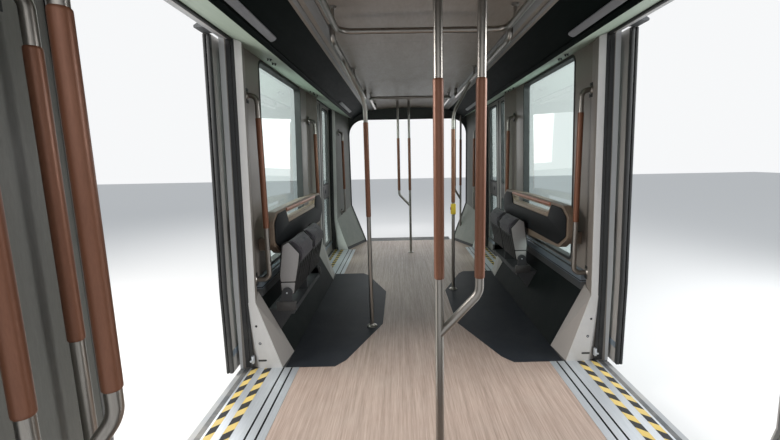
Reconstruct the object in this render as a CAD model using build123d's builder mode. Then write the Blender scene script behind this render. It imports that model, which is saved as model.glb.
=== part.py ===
from build123d import *
from math import cos, radians, sin
import os

# Tram door section: the low-floor body section between two gangways, full size.
# Millimetres. X is across the tram, Y along it, Z up from the underside of the sole bars.
# Heights named in this file are measured up from the floor surface unless they say otherwise.

# Main sizes
floor_top = 250
body_half = 1325
wall_thick = 70
wall_lean = 40
lean_from = 600
eaves = 2250
roof_edge = 1120
roof_edge_z = 2440
roof_top = 2480
skirt_bottom = -230
sole_bottom = -250

# Places along the tram, from the middle
bay_post = 1175
end_post = 2565
door_middle = (bay_post + end_post) / 2
end_plane = 3205
end_frame_thick = 60
bellows_length = 235

# Doorway and leaf sizes
sill_inner = 900
sill_outer = 1250
door_clear = 1260
leaf_width = (end_post - bay_post) / 2 - 4
leaf_thick = 42
leaf_low = 4
leaf_high = 2250
leaf_out = 62

# Seat bay sizes
window_half = 650
window_low = 605
window_high = 2235
riser_foot = 1000
riser_half = 925
ledge_low = 450
ledge_high = 590
backrest_face = 1100
backrest_thick = 60
backrest_half = 925
backrest_low = 700
backrest_high = 1100

# Tip-up seats
hinge_x = 1030
hinge_z = 470
seat_run = 930
seat_overlap = 30
lug_thick = 16
lug_gap = 5
pin_radius = 10
seat_wall = 24

# Tubes: round ones drawn with a few flats and steps, which keeps the many bends light
tube_r = 18
tube_sides = 12
bend_steps = 3
sleeve_r = 21
sleeve_low = 980
sleeve_high = 1765
rail_x = 1139
rail_inset = 218
rail_low = 592
rail_high = 1919
flange_r = 32

# Doorposts
strip_width = 46
flare_top = 488
post_depth = 74

# Slanted linings of the end corners, from the end doorposts to the gangway portals
lining_start = end_post + 8
lining_post = 1200
lining_portal = 1018
flare_post = 1020
flare_portal = 775
portal_high = 2137

# Ceiling
cove_low = (944, 2147)
cove_high = (709, 2282)
ceiling_crown = 2325
panel_thick = 12

# Poles and ceiling rails: places across and along the tram
side_pole = (425, 480)
fork_y = 2280
fork_reach = 165
end_fork = (-905, -3124)
end_branch = (-793, -3037)
fork_join = 740
fork_bend = 915
hand_rail_x = 555
hand_rail_z = 2200
hand_rail_end = 1215
hand_run = 290
ring_x = 505
ring_z = 2220
ring_bar = 1330
ring_end = 2440

os.makedirs("parts", exist_ok=True)


def keep(piece, name):
    piece.label = name
    export_step(piece, f"parts/{name}.step")


def plan(height):
    return Plane.XY.offset(floor_top + height)


def cross_section(y):
    return Plane(origin=(0, y, floor_top), x_dir=(1, 0, 0), z_dir=(0, -1, 0))


def side_view(x):
    return Plane(origin=(x, 0, floor_top), x_dir=(0, 1, 0), z_dir=(1, 0, 0))


def outer(z):
    return body_half - wall_lean * max(0, z - lean_from) / (eaves - lean_from)


def inner(z):
    return outer(z) - wall_thick


def wall_profile(low, high, gap=0):
    corners = [(inner(low) + gap, low), (outer(low), low)]
    if low < lean_from < high:
        corners += [(outer(lean_from), lean_from)]
    corners += [(outer(high), high), (inner(high) + gap, high)]
    if low < lean_from < high:
        corners += [(inner(lean_from) + gap, lean_from)]
    return corners


def tube(corners, bend, radius=tube_r):
    with BuildLine(mode=Mode.PRIVATE) as route:
        FilletPolyline(*corners, radius=bend)
    stations = []
    for edge in route.wires()[0].order_edges():
        steps = 1 if edge.geom_type == GeomType.LINE else bend_steps
        stations += [(edge @ (n / steps), edge % (n / steps)) for n in range(steps)]
    stations += [(edge @ 1, edge % 1)]
    across = stations[0][1].cross(stations[2][1])
    with BuildPart() as run:
        for place, way in stations:
            across = (across - way * across.dot(way)).normalized()
            with BuildSketch(Plane(origin=place, x_dir=across, z_dir=way)):
                RegularPolygon(radius, tube_sides)
        loft(ruled=True)
    return run.part


def plane_through(a, b, c):
    return Plane(origin=a, x_dir=Vector(*b) - Vector(*a), z_dir=(Vector(*b) - Vector(*a)).cross(Vector(*c) - Vector(*a)))


# Underframe: two sole bars, the deck, and the bearers between the bars, with a deep one at each end
with BuildPart() as sole_bars:
    with BuildSketch(plan(sole_bottom)):
        with GridLocations(2 * 1190, 0, 2, 1):
            Rectangle(150, 2 * end_plane)
    extrude(amount=190)
keep(sole_bars.part, "sole_bars")

with BuildPart() as floor_deck:
    with BuildSketch(plan(-60)):
        Rectangle(2 * (body_half - 35), 2 * end_plane)
    extrude(amount=54)
keep(floor_deck.part, "floor_deck")

with BuildPart() as cross_bearers:
    with BuildSketch(plan(-200)):
        with GridLocations(0, 600, 1, 9):
            Rectangle(2230, 80)
    extrude(amount=140)
    with BuildSketch(plan(sole_bottom + 10)):
        with GridLocations(0, 2 * (end_plane - 130), 1, 2):
            Rectangle(2230, 260)
    extrude(amount=180)
keep(cross_bearers.part, "cross_bearers")

# Floor covering, with the dark inlays let into it
inlay_points = [(riser_foot, 1174), (645, 1174), (575, 1085), (330, 440),
                (330, -440), (575, -1085), (645, -1174), (riser_foot, -1174)]
floor_points = [(flare_portal, end_plane), (flare_post - 1, end_post), (sill_inner, end_post), (sill_inner, bay_post),
                (riser_foot, bay_post), (riser_foot, -bay_post), (sill_inner, -bay_post),
                (sill_inner, -end_post), (flare_post - 1, -end_post), (flare_portal, -end_plane)]

with BuildPart() as floor_inlays:
    with BuildSketch(plan(-5)):
        with BuildLine():
            FilletPolyline(*inlay_points[1:-1], radius=70)
            Polyline(inlay_points[1], inlay_points[0], inlay_points[-1], inlay_points[-2])
        make_face()
        mirror(about=Plane.YZ)
    extrude(amount=5)
keep(floor_inlays.part, "floor_inlays")

with BuildPart() as floor_covering:
    with BuildSketch(plan(-5)):
        with BuildLine():
            Polyline(*floor_points)
            Polyline(*[(-x, y) for x, y in floor_points])
            Line((-flare_portal, end_plane), (flare_portal, end_plane))
            Line((-flare_portal, -end_plane), (flare_portal, -end_plane))
        make_face()
    extrude(amount=5)
    add(floor_inlays.part, mode=Mode.SUBTRACT)
keep(floor_covering.part, "floor_covering")

# Slanted risers between the floor and the side walls of the seat bay
with BuildPart() as risers:
    with BuildSketch(cross_section(0)):
        Polygon((riser_foot, -5), (inner(0), -5), (inner(0), ledge_low), (1235, ledge_low), (riser_foot, 4), align=None)
        mirror(about=Plane.YZ)
    extrude(amount=riser_half, both=True)
keep(risers.part, "risers")

# Wall ledges above the risers, with their long grooves
with BuildPart() as wall_ledges:
    with BuildSketch(cross_section(0)):
        Polygon((1212, ledge_low), (inner(0), ledge_low), (inner(0), ledge_high), (1236, ledge_high), (1212, 570), align=None)
        for z in (517, 578):
            with Locations((1210, z)):
                Rectangle(30, 6, mode=Mode.SUBTRACT)
        mirror(about=Plane.YZ)
    extrude(amount=riser_half, both=True)
keep(wall_ledges.part, "wall_ledges")

# Door sills: grooved extrusions with two recesses each for the grip strips
sill_grooves = [(945, 956), (1005, 1015)]
grip_strips = [(1096, 1145), (1194, 1236)]
with BuildPart() as door_sills:
    for end in (-1, 1):
        with BuildSketch(cross_section(end * door_middle)):
            Polygon((sill_inner, -6), (sill_outer, -6), (sill_outer, 2), (sill_inner, 2), align=None)
            for low, high in sill_grooves + grip_strips:
                Polygon((low, -2), (high, -2), (high, 5), (low, 5), align=None, mode=Mode.SUBTRACT)
            mirror(about=Plane.YZ)
        extrude(amount=(end_post - bay_post) / 2, both=True)
keep(door_sills.part, "door_sills")

with BuildPart() as sill_grips:
    for end in (-1, 1):
        with BuildSketch(cross_section(end * door_middle)):
            for low, high in grip_strips:
                Polygon((low, -2), (high, -2), (high, 3), (low, 3), align=None)
            mirror(about=Plane.YZ)
        extrude(amount=(end_post - bay_post) / 2 - 6, both=True)
keep(sill_grips.part, "sill_grips")

# Skirts: three outer panels a side below the floor
skirt_joints = [-end_plane, -bay_post, bay_post, end_plane]
with BuildPart() as skirts:
    for low, high in zip(skirt_joints[:-1], skirt_joints[1:]):
        with BuildSketch(cross_section((low + high) / 2)):
            Polygon((1291, -8), (1291, -120), (1268, skirt_bottom), (1296, skirt_bottom), (1325, -120), (1325, -8), align=None)
            mirror(about=Plane.YZ)
        extrude(amount=(high - low) / 2 - 3, both=True)
keep(skirts.part, "skirts")

# Side walls of the seat bay, each with its window cut
with BuildPart() as bay_walls:
    with BuildSketch(cross_section(0)):
        Polygon(*wall_profile(-5, eaves), align=None)
        mirror(about=Plane.YZ)
    extrude(amount=bay_post - 10, both=True)
    with BuildSketch(side_view(-1500)):
        with Locations((0, (window_low + window_high) / 2)):
            RectangleRounded(2 * window_half, window_high - window_low, 60)
    extrude(amount=3000, mode=Mode.SUBTRACT)
keep(bay_walls.part, "bay_walls")

# Window glass, set back a little from the outer skin
glass_depth = (20, 10)
with BuildPart() as windows:
    with BuildSketch(cross_section(0)):
        low, high = window_low, window_high
        Polygon((outer(low) - glass_depth[0], low), (outer(low) - glass_depth[1], low),
                (outer(high) - glass_depth[1], high), (outer(high) - glass_depth[0], high), align=None)
        mirror(about=Plane.YZ)
    extrude(amount=window_half, both=True)
    corner_columns = [e for e in windows.edges() if e.length < 20 and abs(e.center().Y) > window_half - 1]
    fillet(corner_columns, radius=60)
keep(windows.part, "windows")

# Short outer walls at the four corners, between the end doorposts and the end frames
with BuildPart() as corner_walls:
    with BuildSketch(cross_section(end_plane)):
        Polygon(*wall_profile(-5, eaves), align=None)
        mirror(about=Plane.YZ)
    extrude(amount=end_plane - end_post - 10)
    mirror(about=Plane.XZ)
keep(corner_walls.part, "corner_walls")

# Cantrails: the long beams over the doors and windows, and the roof between them
with BuildPart() as cantrails:
    with BuildSketch(cross_section(0)):
        with BuildLine():
            Line((inner(eaves), eaves), (outer(eaves), eaves))
            Line((outer(eaves), eaves), (1280, 2320))
            TangentArc((1280, 2320), (roof_edge, roof_edge_z), tangent=(-0.07, 1))
            Polyline((roof_edge, roof_edge_z), (roof_edge, 2390), (inner(eaves), 2300), (inner(eaves), eaves))
        make_face()
        mirror(about=Plane.YZ)
    extrude(amount=end_plane, both=True)
keep(cantrails.part, "cantrails")

with BuildPart() as roof_shell:
    with BuildSketch(cross_section(0)):
        with BuildLine():
            ThreePointArc((-roof_edge, roof_edge_z), (0, roof_top), (roof_edge, roof_edge_z))
            Line((roof_edge, roof_edge_z), (roof_edge, 2390))
            ThreePointArc((roof_edge, 2390), (0, 2430), (-roof_edge, 2390))
            Line((-roof_edge, 2390), (-roof_edge, roof_edge_z))
        make_face()
    extrude(amount=end_plane, both=True)
keep(roof_shell.part, "roof_shell")

# Ceiling lining: middle panel, dark coves and pale soffits
with BuildPart() as ceiling:
    with BuildSketch(cross_section(0)):
        with BuildLine():
            ThreePointArc((-709, 2282), (0, ceiling_crown), (709, 2282))
            Line((709, 2282), (709, 2282 + panel_thick))
            ThreePointArc((709, 2282 + panel_thick), (0, ceiling_crown + panel_thick), (-709, 2282 + panel_thick))
            Line((-709, 2282 + panel_thick), (-709, 2282))
        make_face()
    extrude(amount=end_plane, both=True)
keep(ceiling.part, "ceiling")

with BuildPart() as coves:
    with BuildSketch(cross_section(0)):
        Polygon(cove_low, cove_high, (cove_high[0], cove_high[1] + 16), (cove_low[0] + 10, cove_low[1] + 12), align=None)
        mirror(about=Plane.YZ)
    extrude(amount=end_plane, both=True)
keep(coves.part, "coves")

with BuildPart() as soffits:
    with BuildSketch(cross_section(0)):
        Polygon((cove_low[0] + 2, cove_low[1] + 1), (inner(eaves) - 1, eaves - 4), (inner(eaves) - 1, eaves + 12),
                (cove_low[0] + 12, cove_low[1] + 14), align=None)
        mirror(about=Plane.YZ)
    extrude(amount=end_plane, both=True)
keep(soffits.part, "soffits")

# Lamp bars on the coves over the doorways
with BuildPart() as lamp_bars:
    with BuildSketch(cross_section(door_middle)):
        Polygon((928, 2156), (800, 2229.5), (795, 2222), (923, 2148), align=None)
        mirror(about=Plane.YZ)
    extrude(amount=690, both=True)
    mirror(about=Plane.XZ)
keep(lamp_bars.part, "lamp_bars")

# Couplings: lower bearing eyes under the gangways
eye_y = end_plane + 170
with BuildPart() as lower_couplings:
    with BuildSketch(plan(-248)):
        with Locations((0, eye_y)):
            Circle(105)
        Polygon((-260, end_plane), (260, end_plane), (95, eye_y), (-95, eye_y), align=None)
        with Locations((0, eye_y)):
            Circle(50, mode=Mode.SUBTRACT)
    extrude(amount=63)
    mirror(about=Plane.XZ)
keep(lower_couplings.part, "lower_couplings")

# Gangway floor bridges, from the floor's end out over the bellows
with BuildPart() as gangway_bridges:
    with BuildSketch(plan(-14)):
        with BuildLine():
            Polyline((-740, end_plane), (-740, end_plane + end_frame_thick + bellows_length))
            Line((-740, end_plane + end_frame_thick + bellows_length), (740, end_plane + end_frame_thick + bellows_length))
            Line((740, end_plane + end_frame_thick + bellows_length), (740, end_plane))
            Line((740, end_plane), (-740, end_plane))
        make_face()
    extrude(amount=14)
    mirror(about=Plane.XZ)
keep(gangway_bridges.part, "gangway_bridges")

# End frames: the body's outline with the gangway portal cut through
portal_flare = (flare_top + 2) * (lining_portal - flare_portal) / (lining_post - flare_post)
for end, name in ((-1, "front"), (1, "rear")):
    with BuildPart() as end_frame:
        with BuildSketch(cross_section(end * (end_plane + end_frame_thick / 2))):
            with BuildLine():
                right = [(1268, skirt_bottom), (1325, -120), (1325, lean_from), (1285, eaves), (1280, 2320)]
                Polyline(*right)
                Polyline(*[(-x, z) for x, z in right])
                TangentArc((1280, 2320), (roof_edge, roof_edge_z), tangent=(-0.07, 1))
                TangentArc((-1280, 2320), (-roof_edge, roof_edge_z), tangent=(0.07, 1))
                ThreePointArc((-roof_edge, roof_edge_z), (0, roof_top), (roof_edge, roof_edge_z))
                Line((-1268, skirt_bottom), (1268, skirt_bottom))
            make_face()
            with BuildLine():
                Polyline((-lining_portal, portal_flare), (-flare_portal, 0), (flare_portal, 0), (lining_portal, portal_flare))
                FilletPolyline((lining_portal, portal_flare), (lining_portal, portal_high),
                               (-lining_portal, portal_high), (-lining_portal, portal_flare), radius=270)
            make_face(mode=Mode.SUBTRACT)
        extrude(amount=end_frame_thick / 2, both=True)
        add(lower_couplings.part, mode=Mode.SUBTRACT)
        add(gangway_bridges.part, mode=Mode.SUBTRACT)
    keep(end_frame.part, f"end_frame_{name}")

# Grab rails beside the doors: a bent tube on two flanges each
# Columns: middle of the tube, the direction from it to the lining, distance to the lining at both flanges, rail ends
slant = Vector(end_plane - lining_start, lining_post - lining_portal, 0).normalized()
rail_table = [((rail_x, bay_post - rail_inset), Vector(1, 0, 0), 101, 69, rail_low, rail_high),
              ((1073, 2782), slant, 64, 64, 600, 1900)]
rail_bend = 46
with BuildPart() as grab_rails:
    for (x, y), way, reach_low, reach_high, low, high in rail_table:
        foot = Vector(x, y, floor_top + low)
        head = Vector(x, y, floor_top + high)
        add(tube([foot + way * reach_low, foot, head, head + way * reach_high], rail_bend))
        for end, reach in ((foot, reach_low), (head, reach_high)):
            with BuildSketch(Plane(origin=end + way * (reach - 6), z_dir=way)):
                RegularPolygon(flange_r, tube_sides)
            extrude(amount=6)
    mirror(about=Plane.YZ)
    mirror(about=Plane.XZ)
keep(grab_rails.part, "grab_rails")

# End cabinets: closed lockers behind the slanted linings, and the flared panels at their feet
soffit_cut = plane_through((cove_low[0] + 2, 0, floor_top + cove_low[1] - 1),
                           (cove_low[0] + 2, 100, floor_top + cove_low[1] - 1), (inner(eaves) - 1, 0, floor_top + eaves - 6))
with BuildPart() as end_cabinets:
    with BuildSketch(plan(0)):
        back = inner(eaves) - 1
        Polygon((lining_post, lining_start), (back, lining_start), (back, end_plane), (lining_portal, end_plane), align=None)
    extrude(amount=eaves)
    split(bisect_by=soffit_cut, keep=Keep.TOP)
    mirror(about=Plane.YZ)
    mirror(about=Plane.XZ)
keep(end_cabinets.part, "end_cabinets")

with BuildPart() as end_flares:
    with BuildSketch(cross_section(lining_start)):
        Polygon((flare_post, 0), (lining_post, 0), (lining_post, flare_top + 2), align=None)
    with BuildSketch(cross_section(end_plane)):
        Polygon((flare_portal, 0), (lining_portal, 0), (lining_portal, portal_flare), align=None)
    loft(ruled=True)
    mirror(about=Plane.YZ)
    mirror(about=Plane.XZ)
keep(end_flares.part, "end_flares")

# Gangway bellows: half of each, with its folds outside a plain lining
fold_count = 5
fold_slope = 52
ring_half = (1110, 1200)
ring_corner = 300
ring_wall = 34
ring_middle = floor_top + 1050


def ring_outline(inset):
    bends = [(1 - cos(radians(turn)), 1 - sin(radians(turn))) for turn in (0, 30, 60, 90)]
    corner = ring_corner - inset
    quarter = [(ring_half[0] - inset - corner * dx, ring_half[1] - inset - corner * dz) for dx, dz in bends]
    upper = quarter + [(-x, z) for x, z in reversed(quarter)]
    return upper + [(x, -z) for x, z in reversed(upper)]


for end, name in ((-1, "front"), (1, "rear")):
    start = end_plane + end_frame_thick
    depth = bellows_length / fold_count
    with BuildPart() as bellows:
        for n in range(fold_count):
            for y, way in ((start + n * depth, 1), (start + (n + 1) * depth, -1)):
                with BuildSketch(Plane(origin=(0, end * y, ring_middle), x_dir=(1, 0, 0), z_dir=(0, end * way, 0))):
                    Polygon(*ring_outline(0), align=None)
                extrude(amount=depth / 2, taper=-fold_slope)
        with BuildSketch(Plane(origin=(0, end * start, ring_middle), x_dir=(1, 0, 0), z_dir=(0, end, 0))):
            Polygon(*ring_outline(ring_wall), align=None)
        extrude(amount=bellows_length, mode=Mode.SUBTRACT)
    keep(bellows.part, f"bellows_{name}")

# Door posts beside the seat bay, up to the soffit
with BuildPart() as door_posts:
    for z in (flare_top, eaves + 20):
        with BuildSketch(plan(z)):
            back = inner(min(z, eaves)) - 1
            Polygon((back - post_depth, bay_post - 8), (back, bay_post - 8), (back, riser_half + 1), align=None)
    loft(ruled=True)
    split(bisect_by=soffit_cut, keep=Keep.TOP)
    mirror(about=Plane.YZ)
    mirror(about=Plane.XZ)
    add(grab_rails.part, mode=Mode.SUBTRACT)
keep(door_posts.part, "door_posts")

# White trims of the doorposts: a strip up each post and a creased foot that spreads to the riser
foot_front = (flare_post, bay_post, floor_top)
foot_top = (inner(flare_top) - 76, bay_post, floor_top + flare_top)
foot_back = (riser_foot, riser_half + 1, floor_top)
foot_rise = (inner(flare_top) - 12, riser_half + 1, floor_top + flare_top)
with BuildPart() as post_trims:
    with BuildSketch(plan(0)):
        Polygon(foot_front[:2], (1254, bay_post), (1254, riser_half + 1), foot_back[:2], align=None)
    extrude(amount=flare_top)
    split(bisect_by=plane_through(foot_front, foot_top, foot_back), keep=Keep.TOP)
    split(bisect_by=plane_through(foot_back, foot_top, foot_rise), keep=Keep.TOP)
    split(bisect_by=plane_through((1180, bay_post, floor_top), (1227, bay_post, floor_top + flare_top), (1254, bay_post - 40, floor_top)),
          keep=Keep.BOTTOM)
    for z in (flare_top, eaves + 20):
        with BuildSketch(plan(z)):
            edge = inner(min(z, eaves)) - 76
            Polygon((edge, bay_post), (edge + strip_width, bay_post), (edge + strip_width, bay_post - 7), (edge, bay_post - 7), align=None)
    loft(ruled=True)
    with BuildSketch(cross_section(end_post + 7)):
        Polygon((flare_post, 3), (1180, 3), (1227, flare_top), (1190, eaves), (1144, eaves), (1180, flare_top), (1100, 230), align=None)
    extrude(amount=6)
    split(bisect_by=soffit_cut, keep=Keep.TOP)
    mirror(about=Plane.YZ)
    mirror(about=Plane.XZ)
keep(post_trims.part, "post_trims")

# Door leaves: the first doorway stands open on both sides, the second is closed
leaf_glass = [(1095, 2190), (180, 890)]
stile = 130
glass_cut = 32


def leaf_profile(shift, depth=0, thick=leaf_thick, low=leaf_low, high=leaf_high):
    face = shift - depth
    corners = [(outer(low) + face - thick, low), (outer(low) + face, low)]
    if low < lean_from < high:
        corners += [(outer(lean_from) + face, lean_from)]
    corners += [(outer(high) + face, high), (outer(high) + face - thick, high)]
    if low < lean_from < high:
        corners += [(outer(lean_from) + face - thick, lean_from)]
    return corners


half_clear = door_clear / 2
# Columns: how far out the leaves stand, start of each leaf along the tram
leaf_sets = [(leaf_out, [-door_middle - half_clear - leaf_width, -door_middle + half_clear]),
             (0, [door_middle - leaf_width - 3, door_middle + 3])]
with BuildPart() as door_leaves:
    for shift, starts in leaf_sets:
        for start in starts:
            with BuildSketch(cross_section(start + leaf_width / 2)):
                Polygon(*leaf_profile(shift), align=None)
            extrude(amount=leaf_width / 2, both=True)
            with BuildSketch(side_view(1150)) as light:
                for low, high in leaf_glass:
                    with Locations((start + leaf_width / 2, (low + high) / 2)):
                        Rectangle(leaf_width - 2 * stile, high - low)
                chamfer(light.vertices(), length=glass_cut)
            extrude(amount=300, mode=Mode.SUBTRACT)
    mirror(about=Plane.YZ)
keep(door_leaves.part, "door_leaves")

with BuildPart() as door_glass:
    for shift, starts in leaf_sets:
        for start in starts:
            for low, high in leaf_glass:
                with BuildSketch(cross_section(start + leaf_width / 2)):
                    Polygon(*leaf_profile(shift, depth=8, thick=10, low=low, high=high), align=None)
                extrude(amount=leaf_width / 2 - stile, both=True)
    columns = door_glass.edges().filter_by(lambda e: e.length < 12 and min(
        abs(e.center().Z - floor_top - z) for pair in leaf_glass for z in pair) < 3)
    chamfer(columns, length=glass_cut)
    mirror(about=Plane.YZ)
keep(door_glass.part, "door_glass")

# Poles: two beside the aisle, bent over into the hand rails along the ceiling
hand_z = floor_top + hand_rail_z
with BuildPart() as side_poles:
    for turn in (1, -1):
        x = turn * side_pole[0]
        y = turn * side_pole[1]
        add(tube([(x, y, floor_top), (x, y, floor_top + 1930), (turn * hand_rail_x, y - hand_run, hand_z),
                  (turn * hand_rail_x, -hand_rail_end, hand_z), (turn * hand_rail_x, -hand_rail_end, hand_z + 100)], [190, 120, 45]))
        with BuildSketch(plan(0)):
            with Locations((x, y)):
                RegularPolygon(45, tube_sides)
        extrude(amount=10)
    add(ceiling.part, mode=Mode.SUBTRACT)
keep(side_poles.part, "side_poles")

# Forked poles: a second upright leaves the first one at hip height
# Columns: main upright and branch, height of both tops, radius of the foot plate
fork_table = [((0, -fork_y), (fork_reach, -fork_y), 2322, 2320, 45), ((0, fork_y), (-fork_reach, fork_y), 2322, 2320, 45)]
end_fork_table = [((side * end_fork[0], side * end_fork[1]), (side * end_branch[0], side * end_branch[1]), 2172, 2236, 0)
                  for side in (1, -1)]
fork_parts = []
for name, table in (("fork_poles", fork_table), ("end_forks", end_fork_table)):
    with BuildPart() as forks:
        for (x, y), (bx, by), top, branch_top, plate in table:
            add(tube([(bx, by, floor_top + branch_top), (bx, by, floor_top + fork_bend), (x, y, floor_top + fork_join)], 80))
            with BuildSketch(plan(0)):
                with Locations((x, y)):
                    RegularPolygon(tube_r, tube_sides)
            extrude(amount=top)
            if plate:
                with BuildSketch(plan(0)):
                    with Locations((x, y)):
                        RegularPolygon(plate, tube_sides)
                extrude(amount=10)
        for lining in (coves, end_flares):
            add(lining.part, mode=Mode.SUBTRACT)
    keep(forks.part, name)
    fork_parts.append(forks.part)

# Ceiling rails: the rest of the hand rails, and a ring of tube over each doorway
with BuildPart() as ceiling_rails:
    for side in (-1, 1):
        x = side * hand_rail_x
        start = side * side_pole[1] - hand_run + 25
        add(tube([(x, start, hand_z), (x, hand_rail_end, hand_z), (x, hand_rail_end, hand_z + 100)], 45))
    ring_level = floor_top + ring_z
    for end in (-1, 1):
        bar = end * ring_bar
        far = end * ring_end
        add(tube([(ring_x, far, ring_level + 90), (ring_x, far, ring_level), (ring_x, bar, ring_level), (-ring_x, bar, ring_level),
                  (-ring_x, far, ring_level), (-ring_x, far, ring_level + 90)], [50, 90, 90, 50]))
    with BuildSketch(Plane.XY.offset(hand_z)):
        with GridLocations(2 * hand_rail_x, 0, 2, 1):
            RegularPolygon(9, 8)
    extrude(amount=104)
    with BuildSketch(Plane.XY.offset(ring_level)):
        with GridLocations(2 * ring_x, 2 * (ring_bar + 170), 2, 2):
            RegularPolygon(9, 8)
    extrude(amount=84)
    add(ceiling.part, mode=Mode.SUBTRACT)
    add(side_poles.part, mode=Mode.SUBTRACT)
keep(ceiling_rails.part, "ceiling_rails")

# Backrests over the tip-up seats, with a handle slot at the top
slot_low = 990
slot_high = 1045
slot_half = 560
with BuildPart() as backrests:
    with BuildSketch(side_view(backrest_face)):
        with BuildLine():
            right = [(0, backrest_high), (820, 1085), (backrest_half, 1015), (backrest_half, 845), (760, 745), (0, backrest_low)]
            FilletPolyline(*right, radius=40)
            FilletPolyline(*[(-y, z) for y, z in right], radius=40)
        make_face()
        with BuildLine():
            Polyline((-slot_half, slot_high), (slot_half, slot_high), (slot_half - 50, slot_low), (-slot_half + 50, slot_low),
                     (-slot_half, slot_high))
        make_face(mode=Mode.SUBTRACT)
    extrude(amount=backrest_thick)
    with BuildSketch(side_view(backrest_face + backrest_thick)):
        with GridLocations(1600, 0, 2, 1):
            with Locations((0, 830)):
                Rectangle(60, 90)
    extrude(amount=inner(900) - backrest_face - backrest_thick)
    mirror(about=Plane.YZ)
keep(backrests.part, "backrests")

# Seat mounts: a beam with hinge lugs and pins, on wedges from the riser
seat_width = (seat_run - lug_thick - 2 * lug_gap) / 2
seat_starts = [-seat_run + seat_overlap, -seat_run + seat_overlap + seat_width + 2 * lug_gap + lug_thick]
lug_places = [seat_starts[0] - lug_gap - lug_thick, seat_starts[1] - lug_gap - lug_thick, seat_starts[1] + seat_width + lug_gap]


def riser_face(z):
    return riser_foot + (1235 - riser_foot) * (z - 4) / (ledge_low - 4)


# Columns: side of the tram, and the sign that turns the left side's run along Y into this side's
sides = {"left": (-1, 1), "right": (1, -1)}
pin_reach = lug_gap + 20
# Columns: lug, how far the pin stands out of it towards the outer and the inner end of the run
pin_ends = [(lug_places[0], -4, pin_reach), (lug_places[1], pin_reach, pin_reach), (lug_places[2], pin_reach, -4)]
lug_outline = [(985, 340), (1110, 340), (1064, 480), (996, 480)]
wedge_outline = [(1000, 310), (1150, 310), (riser_face(290), 290), (riser_face(180), 180)]
for name, (side, along) in sides.items():
    with BuildPart() as seat_mount:
        for place in lug_places:
            with BuildSketch(cross_section(max(along * place, along * (place + lug_thick)))):
                Polygon(*[(side * x, z) for x, z in lug_outline], align=None)
                with Locations((side * hinge_x, hinge_z)):
                    Circle(40)
            extrude(amount=lug_thick)
            with BuildSketch(cross_section(max(along * place, along * (place + lug_thick)))):
                Polygon(*[(side * x, z) for x, z in wedge_outline], align=None)
            extrude(amount=lug_thick)
        middle = along * (lug_places[0] + lug_places[2] + lug_thick) / 2
        with BuildSketch(cross_section(middle)):
            Polygon((side * 983, 305), (side * riser_face(305), 305), (side * riser_face(345), 345), (side * 983, 345), align=None)
        extrude(amount=(lug_places[2] + lug_thick - lug_places[0]) / 2 + 4, both=True)
        for place, outward, inward in pin_ends:
            ends = (along * (place - outward), along * (place + lug_thick + inward))
            with BuildSketch(cross_section(max(ends))):
                with Locations((side * hinge_x, hinge_z)):
                    Circle(pin_radius)
            extrude(amount=max(ends) - min(ends))
    keep(seat_mount.part, f"seat_mount_{name}")

# Tip-up seats, folded up: a shell with end plates, and a cushion in it
shell_outline = [(1050, 860), (1000, 870), (915, 770), (930, 680), (960, 550), (975, 450), (1080, 450), (1089, 600)]
pocket_outline = [(1110, 500), (1030, 505), (985, 700), (962, 770), (1010, 838), (1110, 850)]
cushion_outline = [(1081, 505), (1033, 509), (989, 700), (967, 770), (1012, 832), (1045, 838), (1084, 600)]
for name, (side, along) in sides.items():
    for start, where in zip(seat_starts, ("outer", "inner")):
        low, high = sorted((along * start, along * (start + seat_width)))
        with BuildPart() as shell:
            with BuildSketch(cross_section(high)):
                Polygon(*[(side * x, z) for x, z in shell_outline], align=None)
            extrude(amount=high - low)
            with BuildSketch(cross_section(high - seat_wall)):
                Polygon(*[(side * x, z) for x, z in pocket_outline], align=None)
            extrude(amount=high - low - 2 * seat_wall, mode=Mode.SUBTRACT)
            with BuildSketch(cross_section(high + 1)):
                with Locations((side * hinge_x, hinge_z)):
                    Circle(pin_radius + 0.5)
            extrude(amount=high - low + 2, mode=Mode.SUBTRACT)
        keep(shell.part, f"seat_shell_{name}_{where}")
        with BuildPart() as cushion:
            with BuildSketch(cross_section(high - seat_wall - 1)):
                Polygon(*[(side * x, z) for x, z in cushion_outline], align=None)
            extrude(amount=high - low - 2 * seat_wall - 2)
        keep(cushion.part, f"seat_cushion_{name}_{where}")

# Roof equipment: a ventilation unit between two long fairings
with BuildPart() as roof_unit:
    with BuildSketch(plan(roof_top - 30)):
        RectangleRounded(1500, 3000, 60)
    extrude(amount=320)
    add(roof_shell.part, mode=Mode.SUBTRACT)
keep(roof_unit.part, "roof_unit")

with BuildPart() as roof_fairings:
    with BuildSketch(cross_section(0)):
        Polygon((1000, 2425), (1180, 2400), (1130, 2760), (1080, 2780), align=None)
        mirror(about=Plane.YZ)
    extrude(amount=end_plane - 60, both=True)
    add(cantrails.part, mode=Mode.SUBTRACT)
    add(roof_shell.part, mode=Mode.SUBTRACT)
keep(roof_fairings.part, "roof_fairings")

# Door hangers: carriages under the cantrails that carry the open leaves
with BuildPart() as door_hangers:
    for y in (-end_post + 60, -bay_post - 180):
        with BuildSketch(cross_section(y + 120)):
            Polygon((1270, 2252), (1345, 2250), (1345, 2262), (1300, 2290), (1270, 2290), align=None)
        extrude(amount=120)
    mirror(about=Plane.YZ)
    add(cantrails.part, mode=Mode.SUBTRACT)
keep(door_hangers.part, "door_hangers")

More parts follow.
